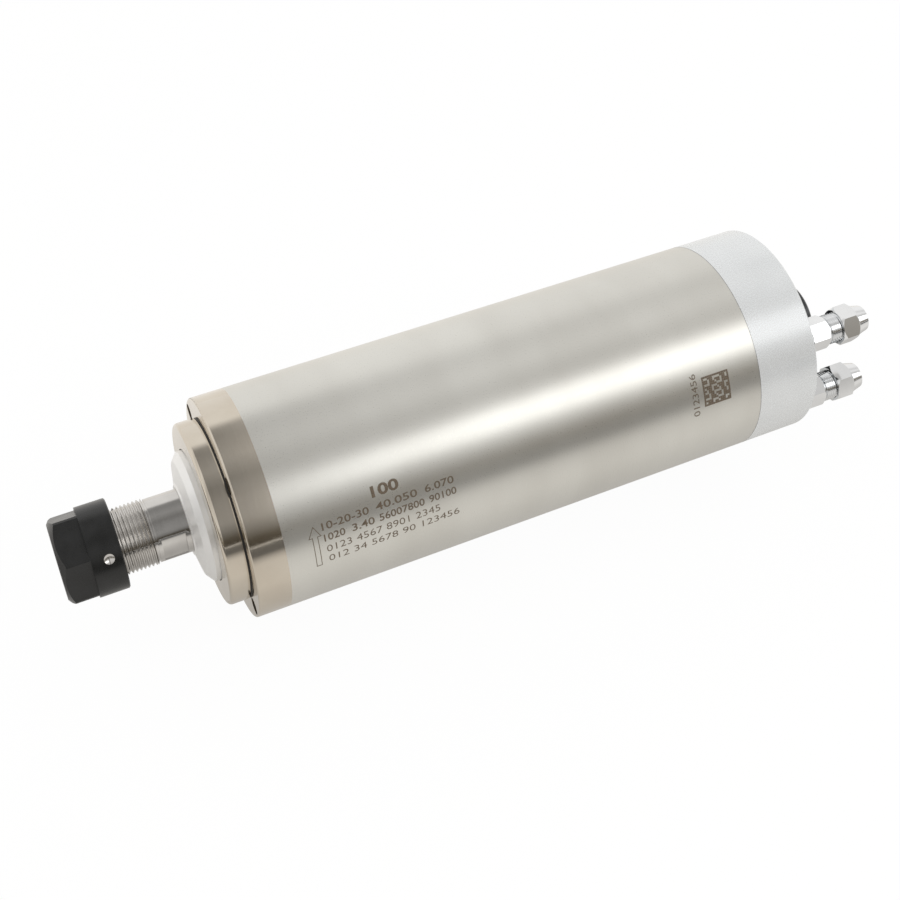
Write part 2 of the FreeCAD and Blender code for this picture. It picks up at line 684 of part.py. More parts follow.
def collet_nut():
    """The black nut: round skirt, hexagonal nose, inner cone and the rim that pulls the collet out."""
    head_x = collet_collar_x() - COLLET_GROOVE_LEN
    slope = math.tan(math.radians(COLLET_HEAD_ANGLE))
    cone_gap = 2 * RUNNING_GAP
    mouth_x = COLLET_FRONT_X + (NUT_MOUTH_R - cone_gap - COLLET_FRONT_R) / slope
    rim_x = head_x + (COLLET_GROOVE_LEN - NUT_RIM_LEN) / 2
    thread_r = NOSE_THREAD_R + THREAD_GAP
    body = revolved([
        (NUT_FRONT_X, NUT_MOUTH_R + COLLET_RECESS),
        (COLLET_FRONT_X, NUT_MOUTH_R),
        (mouth_x, NUT_MOUTH_R),
        (head_x, COLLET_HEAD_R + cone_gap),
        (rim_x, COLLET_HEAD_R + cone_gap),
        (rim_x, NUT_RIM_R),
        (rim_x + NUT_RIM_LEN, NUT_RIM_R),
        (rim_x + NUT_RIM_LEN, thread_r),
        (NUT_BACK_X - NOSE_CHAMFER, thread_r),
        (NUT_BACK_X, thread_r + NOSE_CHAMFER),
        (NUT_BACK_X, NUT_R - NOSE_CHAMFER / 2),
        (NUT_BACK_X - NOSE_CHAMFER / 2, NUT_R),
        (NUT_FRONT_X + NUT_CHAMFER_LEN, NUT_R),
        (NUT_FRONT_X, NUT_FACE_R),
    ])
    flat = Part.makeBox(NUT_HEX_LEN, NUT_R, 2 * NUT_R, V(NUT_FRONT_X, NUT_AF / 2, -NUT_R))
    body = body.cut(around(flat, 6, NUT_CORNER_ANGLE + 30))
    floor = NUT_R - BALANCE_HOLE_DEPTH
    hole = Part.makeCone(0, BALANCE_HOLE_R, BALANCE_HOLE_DEPTH, V(0, floor, 0), V(0, 1, 0))
    hole = hole.fuse(Part.makeCylinder(BALANCE_HOLE_R, NUT_R, V(0, NUT_R, 0), V(0, 1, 0)))
    hole.rotate(V(0, 0, 0), AXIS, BALANCE_HOLE_ANGLE)
    hole.translate(V(NUT_BACK_X - BALANCE_HOLE_SETBACK, 0, 0))
    return body.cut(hole)


def slot_outline(clearance):
    """A stator slot's section in the YZ plane, along +Y."""
    mouth = SLOT_MOUTH / 2 - clearance
    half = SLOT_WIDTH / 2 - clearance
    lip_r = STATOR_BORE_R + SLOT_LIP
    bottom = SLOT_BOTTOM_R - clearance
    points = [
        (lip_r - clearance, mouth),
        (lip_r + half - mouth, half),
        (bottom - half, half),
        (bottom, half / 2),
        (bottom, -half / 2),
        (bottom - half, -half),
        (lip_r + half - mouth, -half),
        (lip_r - clearance, -mouth),
    ]
    return points


def slot_prism(x0, x1, points):
    corners = [V(x0, y, z) for y, z in points]
    return Part.Face(Part.makePolygon(corners + corners[:1])).extrude(V(x1 - x0, 0, 0))


def stator_core():
    """The stack of stator plates, with semi-closed slots."""
    body = ring(STACK_X, STACK_END_X, STATOR_BORE_R, FLANGE_SPIGOT_R)
    mouth = SLOT_MOUTH / 2
    depth = STATOR_BORE_R + SLOT_LIP
    points = [(STATOR_BORE_R / 2, mouth), (depth, mouth)] + slot_outline(0)[1:-1]
    points += [(depth, -mouth), (STATOR_BORE_R / 2, -mouth)]
    return body.cut(around(slot_prism(STACK_X, STACK_END_X, points), SLOT_COUNT))


def stator_windings():
    """Copper in every slot, joined by the rounded end turns at both ends of the stack."""
    inner = STATOR_BORE_R + SLOT_LIP
    outer = WINDING_OUTER_R
    shoulder = (outer - inner) / 4
    prism = slot_prism(STACK_X - WINDING_SINK, STACK_END_X + WINDING_SINK, slot_outline(WINDING_GAP))
    parts = around(prism, SLOT_COUNT)
    for face, way in ((STACK_X, -1), (STACK_END_X, 1)):
        near = face + way * WINDING_GAP
        far = face + way * WINDING_OVERHANG
        parts.append(revolved([
            (near, inner),
            (far - way * shoulder, inner),
            (far, inner + shoulder),
            (far, outer - shoulder),
            (far - way * shoulder, outer),
            (near, outer),
        ]))
    return parts[-1].fuse(parts[:-1])


def rotor_bar(clearance):
    top = STATOR_BORE_R - AIR_GAP - ROTOR_BRIDGE - clearance
    foot = top - ROTOR_BAR_HEIGHT + 2 * clearance
    half = ROTOR_BAR_WIDTH / 2 - clearance
    return [(top, half), (top, -half), (foot, -half * 0.6), (foot, half * 0.6)]


def rotor_core():
    """The stack of rotor plates with its ring of closed bar slots."""
    body = ring(STACK_X, STACK_END_X, ROTOR_SEAT_R + SEAT_GAP, STATOR_BORE_R - AIR_GAP)
    return body.cut(around(slot_prism(STACK_X, STACK_END_X, rotor_bar(0)), ROTOR_BAR_COUNT))


def rotor_cage():
    """The squirrel cage: bars through the rotor stack and a shorting ring at each end."""
    inner = ROTOR_SEAT_R + SEAT_GAP
    outer = STATOR_BORE_R - AIR_GAP - ROTOR_BRIDGE
    prism = slot_prism(STACK_X - WINDING_SINK, STACK_END_X + WINDING_SINK, rotor_bar(SEAT_GAP))
    parts = around(prism, ROTOR_BAR_COUNT)
    front = ring(STACK_X - END_RING_LEN, STACK_X, inner, outer)
    rear = ring(STACK_END_X, STACK_END_X + END_RING_LEN, inner, outer)
    return front.fuse(parts + [rear])


def rear_bearing_carrier():
    """The disc that centres the rear bearings in the jacket. The motor leads pass through its port."""
    bore = REAR_OUTER_R + SEAT_GAP
    half = SEAL_GROOVE / 2 + SEAL_SQUEEZE_ROOM
    groove_r = CARRIER_R - SEAL_GROOVE
    body = revolved([
        (CARRIER_X, CARRIER_THROAT_R),
        (CARRIER_X + CARRIER_LIP, CARRIER_THROAT_R),
        (CARRIER_X + CARRIER_LIP, bore),
        (CARRIER_END_X, bore),
        (CARRIER_END_X, CARRIER_R),
        (REAR_SEAL_X + half, CARRIER_R),
        (REAR_SEAL_X + half, groove_r),
        (REAR_SEAL_X - half, groove_r),
        (REAR_SEAL_X - half, CARRIER_R),
        (CARRIER_SHOULDER_X, CARRIER_R),
        (CARRIER_SHOULDER_X, FLANGE_SPIGOT_R),
        (CARRIER_X, FLANGE_SPIGOT_R),
    ])
    y, z = polar(LEAD_PORT_RADIUS, 0)
    ports = around(rod(CARRIER_X, CARRIER_END_X, LEAD_PORT_R, y, z), PIN_COUNT, 45)
    return body.cut(ports)


def preload_spring():
    """The waved washer between the carrier's lip and the rear bearings' outer rings."""
    outer = REAR_OUTER_R - SPRING_EDGE_GAP
    inner = outer - SPRING_WIDTH
    lift = (SPRING_ROOM - SPRING_THICKNESS - 2 * SEAT_GAP) / 2
    middle = CARRIER_X + CARRIER_LIP + SPRING_ROOM / 2
    steps = 8 * SPRING_WAVES

    def wave_edge(radius, offset):
        points = []
        for k in range(steps):
            angle = 360.0 * k / steps
            y, z = polar(radius, angle)
            points.append(V(middle + offset + lift * math.cos(math.radians(SPRING_WAVES * angle)), y, z))
        curve = Part.BSplineCurve()
        curve.interpolate(points, PeriodicFlag=True)
        return Part.Wire(curve.toShape())

    half = SPRING_THICKNESS / 2
    edges = [wave_edge(r, o) for r, o in ((inner, -half), (outer, -half), (outer, half), (inner, half))]
    faces = [Part.makeRuledSurface(edges[k].Edges[0], edges[(k + 1) % 4].Edges[0]) for k in range(4)]
    solid = Part.Solid(Part.Shell(faces))
    return solid if solid.Volume > 0 else solid.reversed()


def rear_lock_nut():
    """The slotted nut on the shaft's tail that clamps the rear bearings."""
    body = ring(REAR_STACK_END, REAR_STACK_END + LOCK_NUT_LEN, REAR_BORE_R + SEAT_GAP, LOCK_NUT_R)
    slot_x = REAR_STACK_END + LOCK_NUT_LEN / 2
    slot = Part.makeBox(LOCK_NUT_LEN, LOCK_NUT_R, LOCK_NUT_SLOT, V(slot_x, 0, -LOCK_NUT_SLOT / 2))
    slot.translate(V(0, LOCK_NUT_R - LOCK_NUT_SLOT_DEPTH, 0))
    return body.cut(around(slot, 4))


def port_path(name):
    """The two ends of the cross drilling, from a fitting's hole to the jacket's port."""
    x = CASING_LEN + CROSS_PORT_X
    fitting = V(x, *polar(FITTING_RADIUS, FITTING_ANGLES[name]))
    jacket = V(x, *polar(JACKET_PORT_RADIUS, jacket_port_angle(name)))
    return fitting, jacket


def rear_cap():
    """The bright aluminium rear cover: water passages, socket hole, and a spigot that holds the carrier."""
    wall_x = REAR_FACE_X - REAR_WALL
    body = revolved([
        (CARRIER_END_X, REAR_MOUTH_R),
        (CARRIER_END_X + REAR_MOUTH_LEN, REAR_MOUTH_R),
        (CARRIER_END_X + REAR_MOUTH_LEN, REAR_CAVITY_R),
        (wall_x, REAR_CAVITY_R),
        (wall_x, SOCKET_STEM_R + SEAT_GAP),
        (REAR_FACE_X, SOCKET_STEM_R + SEAT_GAP),
        (REAR_FACE_X, BODY_R - REAR_EDGE_CHAMFER),
        (REAR_FACE_X - REAR_EDGE_CHAMFER, BODY_R),
        (CASING_LEN, BODY_R),
        (CASING_LEN, CARRIER_R),
        (CARRIER_END_X, CARRIER_R),
    ])
    cuts = []
    past = JACKET_PORT_R + DRILL_OVERRUN
    for name, angle in FITTING_ANGLES.items():
        y, z = polar(FITTING_RADIUS, angle)
        fitting, jacket = port_path(name)
        hole_x = REAR_FACE_X - FITTING_STUB_LEN - FITTING_HOLE_SPARE
        cuts.append(rod(hole_x, REAR_FACE_X, FITTING_STUB_R + SEAT_GAP, y, z))
        cuts.append(rod(fitting.x - past, REAR_FACE_X - FITTING_STUB_LEN, FITTING_WATER_R, y, z))
        cuts.append(rod(CASING_LEN, fitting.x + past, JACKET_PORT_R, jacket.y, jacket.z))
        way = jacket - fitting
        cuts.append(Part.makeCylinder(JACKET_PORT_R, way.Length, fitting, way))
    recess = REAR_FACE_X - COUNTERBORE_DEPTH
    cuts += screw_holes(recess, REAR_FACE_X, COUNTERBORE_R, REAR_SCREW_ANGLE)
    cuts += screw_holes(CASING_LEN, recess, SCREW_R, REAR_SCREW_ANGLE)
    return body.cut(cuts)


def fitting_body(name):
    """A hose fitting's body: stub in the cap, hexagon, outside thread, and a socket for the hose."""
    y, z = polar(FITTING_RADIUS, FITTING_ANGLES[name])
    hex_x = REAR_FACE_X + WASHER_LEN
    thread_x = REAR_FACE_X + WASHER_LEN + FITTING_HEX_LEN
    end_x = thread_x + FITTING_THREAD_LEN
    hex_part = hexagon(hex_x, thread_x, FITTING_HEX_AF, y, z, FITTING_HEX_ANGLES[name])
    slope_x = thread_x - FITTING_HEX_CHAMFER
    reach = FITTING_THREAD_R + FITTING_HEX_CHAMFER
    slope = Part.makeCone(reach, FITTING_THREAD_R, FITTING_HEX_CHAMFER, V(slope_x, y, z), AXIS)
    trim = slope.fuse(rod(hex_x, slope_x, reach, y, z))
    body = rod(REAR_FACE_X - FITTING_STUB_LEN, hex_x, FITTING_STUB_R, y, z)
    body = body.fuse(hex_part.common(trim))
    body = body.fuse(rod(thread_x, end_x, FITTING_THREAD_R, y, z))
    body = body.cut(rod(REAR_FACE_X - FITTING_STUB_LEN, end_x, FITTING_WATER_R, y, z))
    body = body.cut(rod(end_x - HOSE_SOCKET_DEPTH, end_x, HOSE_R + RUNNING_GAP, y, z))
    mouth = Part.makeCone(HOSE_R, FERRULE_R, FERRULE_R - HOSE_R, V(end_x - FERRULE_R + HOSE_R, y, z), AXIS)
    return body.cut(mouth)


def fitting_washers():
    """The sealing washers under the two fittings."""
    washers = []
    for angle in FITTING_ANGLES.values():
        y, z = polar(FITTING_RADIUS, angle)
        washer = rod(REAR_FACE_X, REAR_FACE_X + WASHER_LEN, WASHER_R, y, z)
        hole = rod(REAR_FACE_X, REAR_FACE_X + WASHER_LEN, FITTING_STUB_R + SEAT_GAP, y, z)
        washers.append(washer.cut(hole))
    return compound(washers)


def hose_nut_back_x():
    return REAR_FACE_X + WASHER_LEN + FITTING_HEX_LEN + HOSE_NUT_BACK


def fitting_end_x():
    return REAR_FACE_X + WASHER_LEN + FITTING_HEX_LEN + FITTING_THREAD_LEN


def ferrule(name):
    """The soft ring that the nut squeezes onto the hose."""
    y, z = polar(FITTING_RADIUS, FITTING_ANGLES[name])
    tip = fitting_end_x() + RUNNING_GAP
    straight = rod(tip, tip + FERRULE_LEN / 2, FERRULE_R, y, z)
    half = FERRULE_LEN / 2
    slope = Part.makeCone(FERRULE_R, HOSE_R + FERRULE_TIP_WALL, half, V(tip + half, y, z), AXIS)
    body = straight.fuse(slope)
    return body.cut(rod(tip, tip + FERRULE_LEN, HOSE_R + RUNNING_GAP, y, z))


def hose_nut(name):
    """The union nut: hexagon, tapered nose with the hose hole, and an inner cone on the ferrule."""
    y, z = polar(FITTING_RADIUS, FITTING_ANGLES[name])
    x0 = hose_nut_back_x()
    hex_end = x0 + HOSE_NUT_HEX_LEN
    x1 = hex_end + HOSE_NUT_NOSE_LEN
    corner = HOSE_NUT_AF / math.sqrt(3)
    edge = corner - HOSE_NUT_AF / 2
    trim = Part.makeCone(HOSE_NUT_AF / 2, corner, edge, V(x0, y, z), AXIS)
    slope_len = HOSE_NUT_CHAMFER_SHARE * edge
    slope_x = hex_end - slope_len
    trim = trim.fuse(rod(x0 + edge, slope_x, corner, y, z))
    trim = trim.fuse(Part.makeCone(corner, HOSE_NUT_NOSE_R, slope_len, V(slope_x, y, z), AXIS))
    body = hexagon(x0, hex_end, HOSE_NUT_AF, y, z, FITTING_NUT_ANGLES[name]).common(trim)
    nose = Part.makeCone(HOSE_NUT_NOSE_R, HOSE_NUT_TIP_R, HOSE_NUT_NOSE_LEN, V(hex_end, y, z), AXIS)
    body = body.fuse(nose)
    cone_x = fitting_end_x() + FERRULE_LEN / 2 + 2 * RUNNING_GAP
    hole_r = HOSE_R + 2 * RUNNING_GAP
    wide = FERRULE_R + FERRULE_CONE_GAP
    narrow = HOSE_R + FERRULE_TIP_WALL + FERRULE_CONE_GAP
    tools = [
        rod(x0, fitting_end_x() + RUNNING_GAP, FITTING_THREAD_R + THREAD_GAP, y, z),
        rod(x0, cone_x, wide, y, z),
        Part.makeCone(wide, narrow, FERRULE_LEN / 2, V(cone_x, y, z), AXIS),
        rod(x0, x1, hole_r, y, z),
    ]
    return body.cut(tools)


def socket_shell():
    """The power socket's threaded shell, flange and stem, with a key in its mouth."""
    top = REAR_FACE_X + SOCKET_HEIGHT
    seat = REAR_FACE_X + SOCKET_GASKET
    flange_top = seat + SOCKET_FLANGE_LEN
    wall_x = REAR_FACE_X - REAR_WALL
    stem_end = wall_x - SOCKET_NUT_LEN - SOCKET_STEM_SPARE
    body = revolved([
        (stem_end, SOCKET_STEM_R - SOCKET_WALL),
        (flange_top + SOCKET_FLOOR, SOCKET_STEM_R - SOCKET_WALL),
        (flange_top + SOCKET_FLOOR, SOCKET_BORE_R),
        (top, SOCKET_BORE_R),
        (top, SOCKET_R - NOSE_CHAMFER),
        (top - NOSE_CHAMFER, SOCKET_R),
        (flange_top, SOCKET_R),
        (flange_top, SOCKET_FLANGE_R),
        (seat, SOCKET_FLANGE_R),
        (seat, SOCKET_STEM_R),
        (stem_end, SOCKET_STEM_R),
    ])
    key_x = flange_top + SOCKET_FLOOR
    key_len = top - KEY_SETBACK - key_x
    key_depth = SOCKET_R - NOSE_CHAMFER - SOCKET_BORE_R + KEY_HEIGHT
    key_corner = V(key_x, SOCKET_BORE_R - KEY_HEIGHT, -KEY_WIDTH / 2)
    key = Part.makeBox(key_len, key_depth, KEY_WIDTH, key_corner)
    return body.fuse(key)


def socket_gasket():
    seat = REAR_FACE_X + SOCKET_GASKET
    return ring(REAR_FACE_X, seat, SOCKET_STEM_R + SEAT_GAP, SOCKET_FLANGE_R - SOCKET_GASKET_STEP)


def socket_nut():
    """The nut that holds the power socket from inside the rear cap."""
    wall_x = REAR_FACE_X - REAR_WALL
    body = hexagon(wall_x - SOCKET_NUT_LEN, wall_x, 2 * SOCKET_NUT_R, 0, 0, 0)
    return body.cut(rod(wall_x - SOCKET_NUT_LEN, wall_x, SOCKET_STEM_R + THREAD_GAP))


def pin_place(k):
    return polar(PIN_PCD_R, 45 + 360.0 * k / PIN_COUNT)


def socket_insert():
    """The moulded insulator inside the shell, bored for the pins."""
    flange_top = REAR_FACE_X + SOCKET_GASKET + SOCKET_FLANGE_LEN
    x0 = REAR_FACE_X - REAR_WALL
    x1 = flange_top + SOCKET_FLOOR
    body = rod(x0, x1, SOCKET_STEM_R - SOCKET_WALL - SEAT_GAP)
    for k in range(PIN_COUNT):
        body = body.cut(rod(x0, x1, PIN_R + SEAT_GAP, *pin_place(k)))
    return body


def socket_pins():
    """The contact pins: round tips outside and solder cups inside."""
    flange_top = REAR_FACE_X + SOCKET_GASKET + SOCKET_FLANGE_LEN
    x0 = REAR_FACE_X - REAR_WALL - SOLDER_CUP_LEN
    x1 = flange_top + SOCKET_FLOOR + PIN_REACH
    pins = []
    for k in range(PIN_COUNT):
        y, z = pin_place(k)
        pin = rod(x0, x1 - PIN_R, PIN_R, y, z)
        tip = Part.makeCone(PIN_R, PIN_R / 2, PIN_R, V(x1 - PIN_R, y, z), AXIS)
        pins.append(pin.fuse(tip))
    return compound(pins)


def lead_route(k):
    """A motor lead's corners: from the end turns, through the carrier's port, to a solder cup."""
    port = V(0, *polar(LEAD_PORT_RADIUS, 45 + 360.0 * k / PIN_COUNT))
    cup = V(0, *pin_place(k))
    start_x = STACK_END_X + WINDING_OVERHANG + SEAT_GAP
    turn_x = CARRIER_END_X + LEAD_TURN_LEN
    end_x = REAR_FACE_X - REAR_WALL - SOLDER_CUP_LEN
    return [
        V(start_x, port.y, port.z),
        V(turn_x, port.y, port.z),
        V(turn_x + LEAD_CROSS_LEN, cup.y, cup.z),
        V(end_x - SEAT_GAP, cup.y, cup.z),
    ]


def motor_lead(k):
    """One insulated lead: straight runs joined by tangent arcs."""
    corners = lead_route(k)
    edges = []
    here = corners[0]
    for before, corner, after in zip(corners, corners[1:], corners[2:]):
        into = (corner - before).normalize()
        out = (after - corner).normalize()
        half_turn = into.getAngle(out) / 2
        shorter = min((corner - before).Length, (after - corner).Length)
        trim = min(LEAD_BEND_R * math.tan(half_turn), 0.45 * shorter)
        start = corner - into * trim
        end = corner + out * trim
        radius = trim / math.tan(half_turn)
        centre_way = (out - into).normalize()
        middle = corner + centre_way * (radius / math.cos(half_turn) - radius)
        edges.append(Part.LineSegment(here, start).toShape())
        edges.append(Part.Arc(start, middle, end).toShape())
        here = end
    edges.append(Part.LineSegment(here, corners[-1]).toShape())
    path = Part.Wire(edges)
    section = Part.Wire(Part.makeCircle(LEAD_R, corners[0], AXIS))
    return path.makePipeShell([section], True, False)


def build():
    """Every separate piece by the name of its file."""
    front, rear = front_bearings(), rear_bearings()
    pieces = {
        "outer_casing": outer_casing(),
        "front_flange": front_flange(),
        "flange_screws": flange_screws(),
        "front_bearing_cap": front_bearing_cap(),
        "cooling_jacket": cooling_jacket(),
        "front_seals": front_seals(),
        "rear_seals": rear_seals(),
        "front_outer_rings": compound([b.outer_ring() for b in front]),
        "front_outer_spacer": outer_spacer(front),
        "front_inner_rings": compound([b.inner_ring() for b in front]),
        "front_inner_spacer": inner_spacer(front),
        "front_balls": compound([ball for b in front for ball in b.balls()]),
        "front_cages": compound([b.cage() for b in front]),
        "rear_outer_rings": compound([b.outer_ring() for b in rear]),
        "rear_outer_spacer": outer_spacer(rear),
        "rear_inner_rings": compound([b.inner_ring() for b in rear]),
        "rear_inner_spacer": inner_spacer(rear),
        "rear_balls": compound([ball for b in rear for ball in b.balls()]),
        "rear_cages": compound([b.cage() for b in rear]),
        "spindle_shaft": spindle_shaft(),
        "dust_ring": dust_ring(),
        "rear_lock_nut": rear_lock_nut(),
        "rotor_core": rotor_core(),
        "rotor_cage": rotor_cage(),
        "stator_core": stator_core(),
        "stator_windings": stator_windings(),
        "rear_bearing_carrier": rear_bearing_carrier(),
        "preload_spring": preload_spring(),
        "collet": collet(),
        "collet_nut": collet_nut(),
        "rear_cap": rear_cap(),
        "rear_cap_screws": rear_cap_screws(),
        "fitting_washers": fitting_washers(),
        "socket_shell": socket_shell(),
        "socket_gasket": socket_gasket(),
        "socket_nut": socket_nut(),
        "socket_insert": socket_insert(),
        "socket_pins": socket_pins(),
    }
    for name in FITTING_ANGLES:
        pieces[f"{name}_fitting"] = fitting_body(name)
        pieces[f"{name}_ferrule"] = ferrule(name)
        pieces[f"{name}_hose_nut"] = hose_nut(name)
    for k, phase in enumerate(("u", "v", "w", "earth")):
        pieces[f"motor_lead_{phase}"] = motor_lead(k)
    return pieces


os.makedirs("parts", exist_ok=True)
for part_name, shape in build().items():
    closed = all(s.isValid() and s.isClosed() and s.Volume > 0 for s in shape.Solids)
    if not shape.Solids or not closed:
        print("not a closed solid:", part_name)
    print(f"{part_name}: {len(shape.Solids)} solids, {shape.Volume:.1f} mm3")
    shape.exportStep(f"parts/{part_name}.step")
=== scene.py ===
"""Looks of a water-cooled motor spindle that lies on a pale floor, nose to the left.

Metres. The spindle axis is X, the nose points to -X, and +Z is up. Stations and radii below are in
millimetres and are multiplied by MM where a shape is made. Angles about the axis run from +Y towards +Z.
"""

import json
import math

import bmesh
import bpy
from mathutils import Matrix, Vector


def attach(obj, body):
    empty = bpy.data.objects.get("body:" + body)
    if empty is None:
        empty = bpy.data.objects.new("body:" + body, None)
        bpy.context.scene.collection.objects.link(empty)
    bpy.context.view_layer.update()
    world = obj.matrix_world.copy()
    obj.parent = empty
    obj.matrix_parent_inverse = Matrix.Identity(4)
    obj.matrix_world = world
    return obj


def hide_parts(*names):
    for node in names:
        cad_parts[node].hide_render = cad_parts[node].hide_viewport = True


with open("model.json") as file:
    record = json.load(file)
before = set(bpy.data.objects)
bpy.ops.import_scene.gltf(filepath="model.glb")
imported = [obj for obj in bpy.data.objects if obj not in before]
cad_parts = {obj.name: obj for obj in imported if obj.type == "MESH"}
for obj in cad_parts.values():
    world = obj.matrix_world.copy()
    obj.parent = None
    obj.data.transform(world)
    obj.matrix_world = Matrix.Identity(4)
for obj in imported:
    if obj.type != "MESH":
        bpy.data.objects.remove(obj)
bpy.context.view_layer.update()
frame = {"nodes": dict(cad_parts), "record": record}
nodes = frame["nodes"]

MM = 0.001
AXIS = Vector((1, 0, 0))

CASING_R = 42.5
CASING_END_X = 196.0
FLANGE_FACE_X = -12.5
CAP_FACE_X = -20.7
FLOOR_Z = -CASING_R * MM

THREAD_START_X = -40.0
NOSE_END_X = -67.2
NOSE_MAJOR_R = 12.5
NOSE_MINOR_R = 11.62
NOSE_PITCH = 1.5
SHAFT_BORE_R = 6.85
TAPER_MOUTH_R = 10.38
NUT_MARK_X = -57.1
NUT_MARK_R = 17.0
NUT_MARK_ANGLE = 148.5

FITTING_RADIUS = 34.0
FITTING_ANGLES = {"outlet": 148.5, "inlet": 199.3}
FITTING_THREAD_X = 232.0
FITTING_END_X = 244.1
FITTING_MAJOR_R = 6.0
FITTING_MINOR_R = 5.3
FITTING_PITCH = 1.0
FITTING_WATER_R = 2.8
HOSE_BORE_R = 4.05
HOSE_BORE_LEN = 9.0

# Painted shade: black rings put in the gaps at the seams, where there is only shadow. Each ring: first and
# last station, inner and outer radius
GAP_SHADE_RINGS = {
    "cap_seam_shade": (FLANGE_FACE_X - 0.38, FLANGE_FACE_X + 0.1, 34.2, 34.8),
    "dust_ring_gap_shade": (CAP_FACE_X + 0.5, CAP_FACE_X + 1.2, 25.15, 25.5),
    "rear_seam_shade": (CASING_END_X - 0.07, CASING_END_X + 0.07, CASING_R - 0.3, CASING_R + 0.004),
}

# The camera was fitted to the photograph's frame, with its shift held small
PICTURE_PIXELS = 900
FOCAL_PIXELS = 1489.5
SENSOR_WIDTH = 36.0
CAMERA_SHIFT = (0.002, -0.2)
CAMERA_PLACE = Vector((-78.61, -379.41, 418.38)) * MM
CAMERA_RIGHT = Vector((0.913263, -0.406755, -0.022399))
CAMERA_UP = Vector((0.273667, 0.571862, 0.773357))
CAMERA_AHEAD = Vector((0.301757, 0.712408, -0.633575))

KEY_BOX_PLACE = (0.67, -0.60, 0.56)
KEY_BOX_TARGET = (0.10, 0, 0)
KEY_BOX_SIZE = (1.09, 0.40)
KEY_BOX_STRENGTH = 1.25

# Greys of the room, by shares of the half turn from the horizon behind the spindle to the viewer's
ROOM_STOPS = ((0.0, 0.97), (0.24, 0.97), (0.34, 0.76), (0.48, 0.94), (0.60, 0.60), (0.68, 0.74),
              (0.84, 0.86), (0.90, 0.56), (0.955, 0.22), (1.0, 0.10))
ROOM_TONE = 0.012
ROOM_WARMTH = 0.30
STRIP_X = 0.07
STRIP_HALF_WIDTHS = (0.06, 0.12)
STRIP_GREY = 0.36
STRIP_START = (0.24, 0.32)

# Greys of the floor for all but the camera, from FLOOR_REACH metres on the viewer's side to as far behind
FLOOR_STOPS = ((0.0, 0.10), (0.16, 0.07), (0.32, 0.76), (0.42, 0.81), (0.48, 0.52), (0.56, 0.72),
               (0.62, 0.95), (1.0, 0.95))
FLOOR_TONE = 0.032
FLOOR_REACH = 0.5
FLOOR_MIDDLE_X = 0.07
FLOOR_HALF_SIZE = 2.5
SEEN_STRENGTH = 1.02
SEEN_SHARE = 0.93
GLOW_SHARE = 0.9


def turned_place(x, radius, angle):
    """A point at a station, a radius and an angle about the spindle axis."""
    turn = math.radians(angle)
    return Vector((x, radius * math.cos(turn), radius * math.sin(turn))) * MM


# Materials

class Nodes:
    """Makes and links the nodes of a material or of the world."""

    def __init__(self, tree):
        self.tree = tree

    def node(self, kind, **settings):
        made = self.tree.nodes.new("ShaderNode" + kind)
        for key, value in settings.items():
            setattr(made, key, value)
        return made

    def link(self, source, target):
        self.tree.links.new(source, target)

    def calculated(self, operation, *terms):
        """One step of arithmetic on numbers and linked values."""
        step = self.node("Math", operation=operation)
        for place, term in zip(step.inputs, terms):
            if isinstance(term, float):
                place.default_value = term
            else:
                self.link(term, place)
        return step.outputs[0]

    def ranged(self, value, low, high, start=0.3, end=0.7):
        """A value between start and end moved to the range low to high."""
        mapped = self.node("MapRange")
        mapped.inputs["From Min"].default_value = start
        mapped.inputs["From Max"].default_value = end
        mapped.inputs["To Min"].default_value = low
        mapped.inputs["To Max"].default_value = high
        self.link(value, mapped.inputs["Value"])
        return mapped.outputs["Result"]

    def grey_ramp(self, value, stops, tone, warm=0.0):
        """Greys by (position, grey) stops, with an even warm tone and more of it where they are darker."""
        made = self.node("ValToRGB")
        ramp = made.color_ramp
        ramp.elements[0].position, ramp.elements[1].position = stops[0][0], stops[-1][0]
        for position, _ in stops[1:-1]:
            ramp.elements.new(position)
        for element, (_, grey) in zip(ramp.elements, stops):
            warmth = tone + warm * (1 - grey) ** 4
            element.color = (grey * (1 + warmth), grey, grey * (1 - 1.5 * warmth), 1)
        self.link(value, made.inputs["Fac"])
        return made.outputs["Color"]


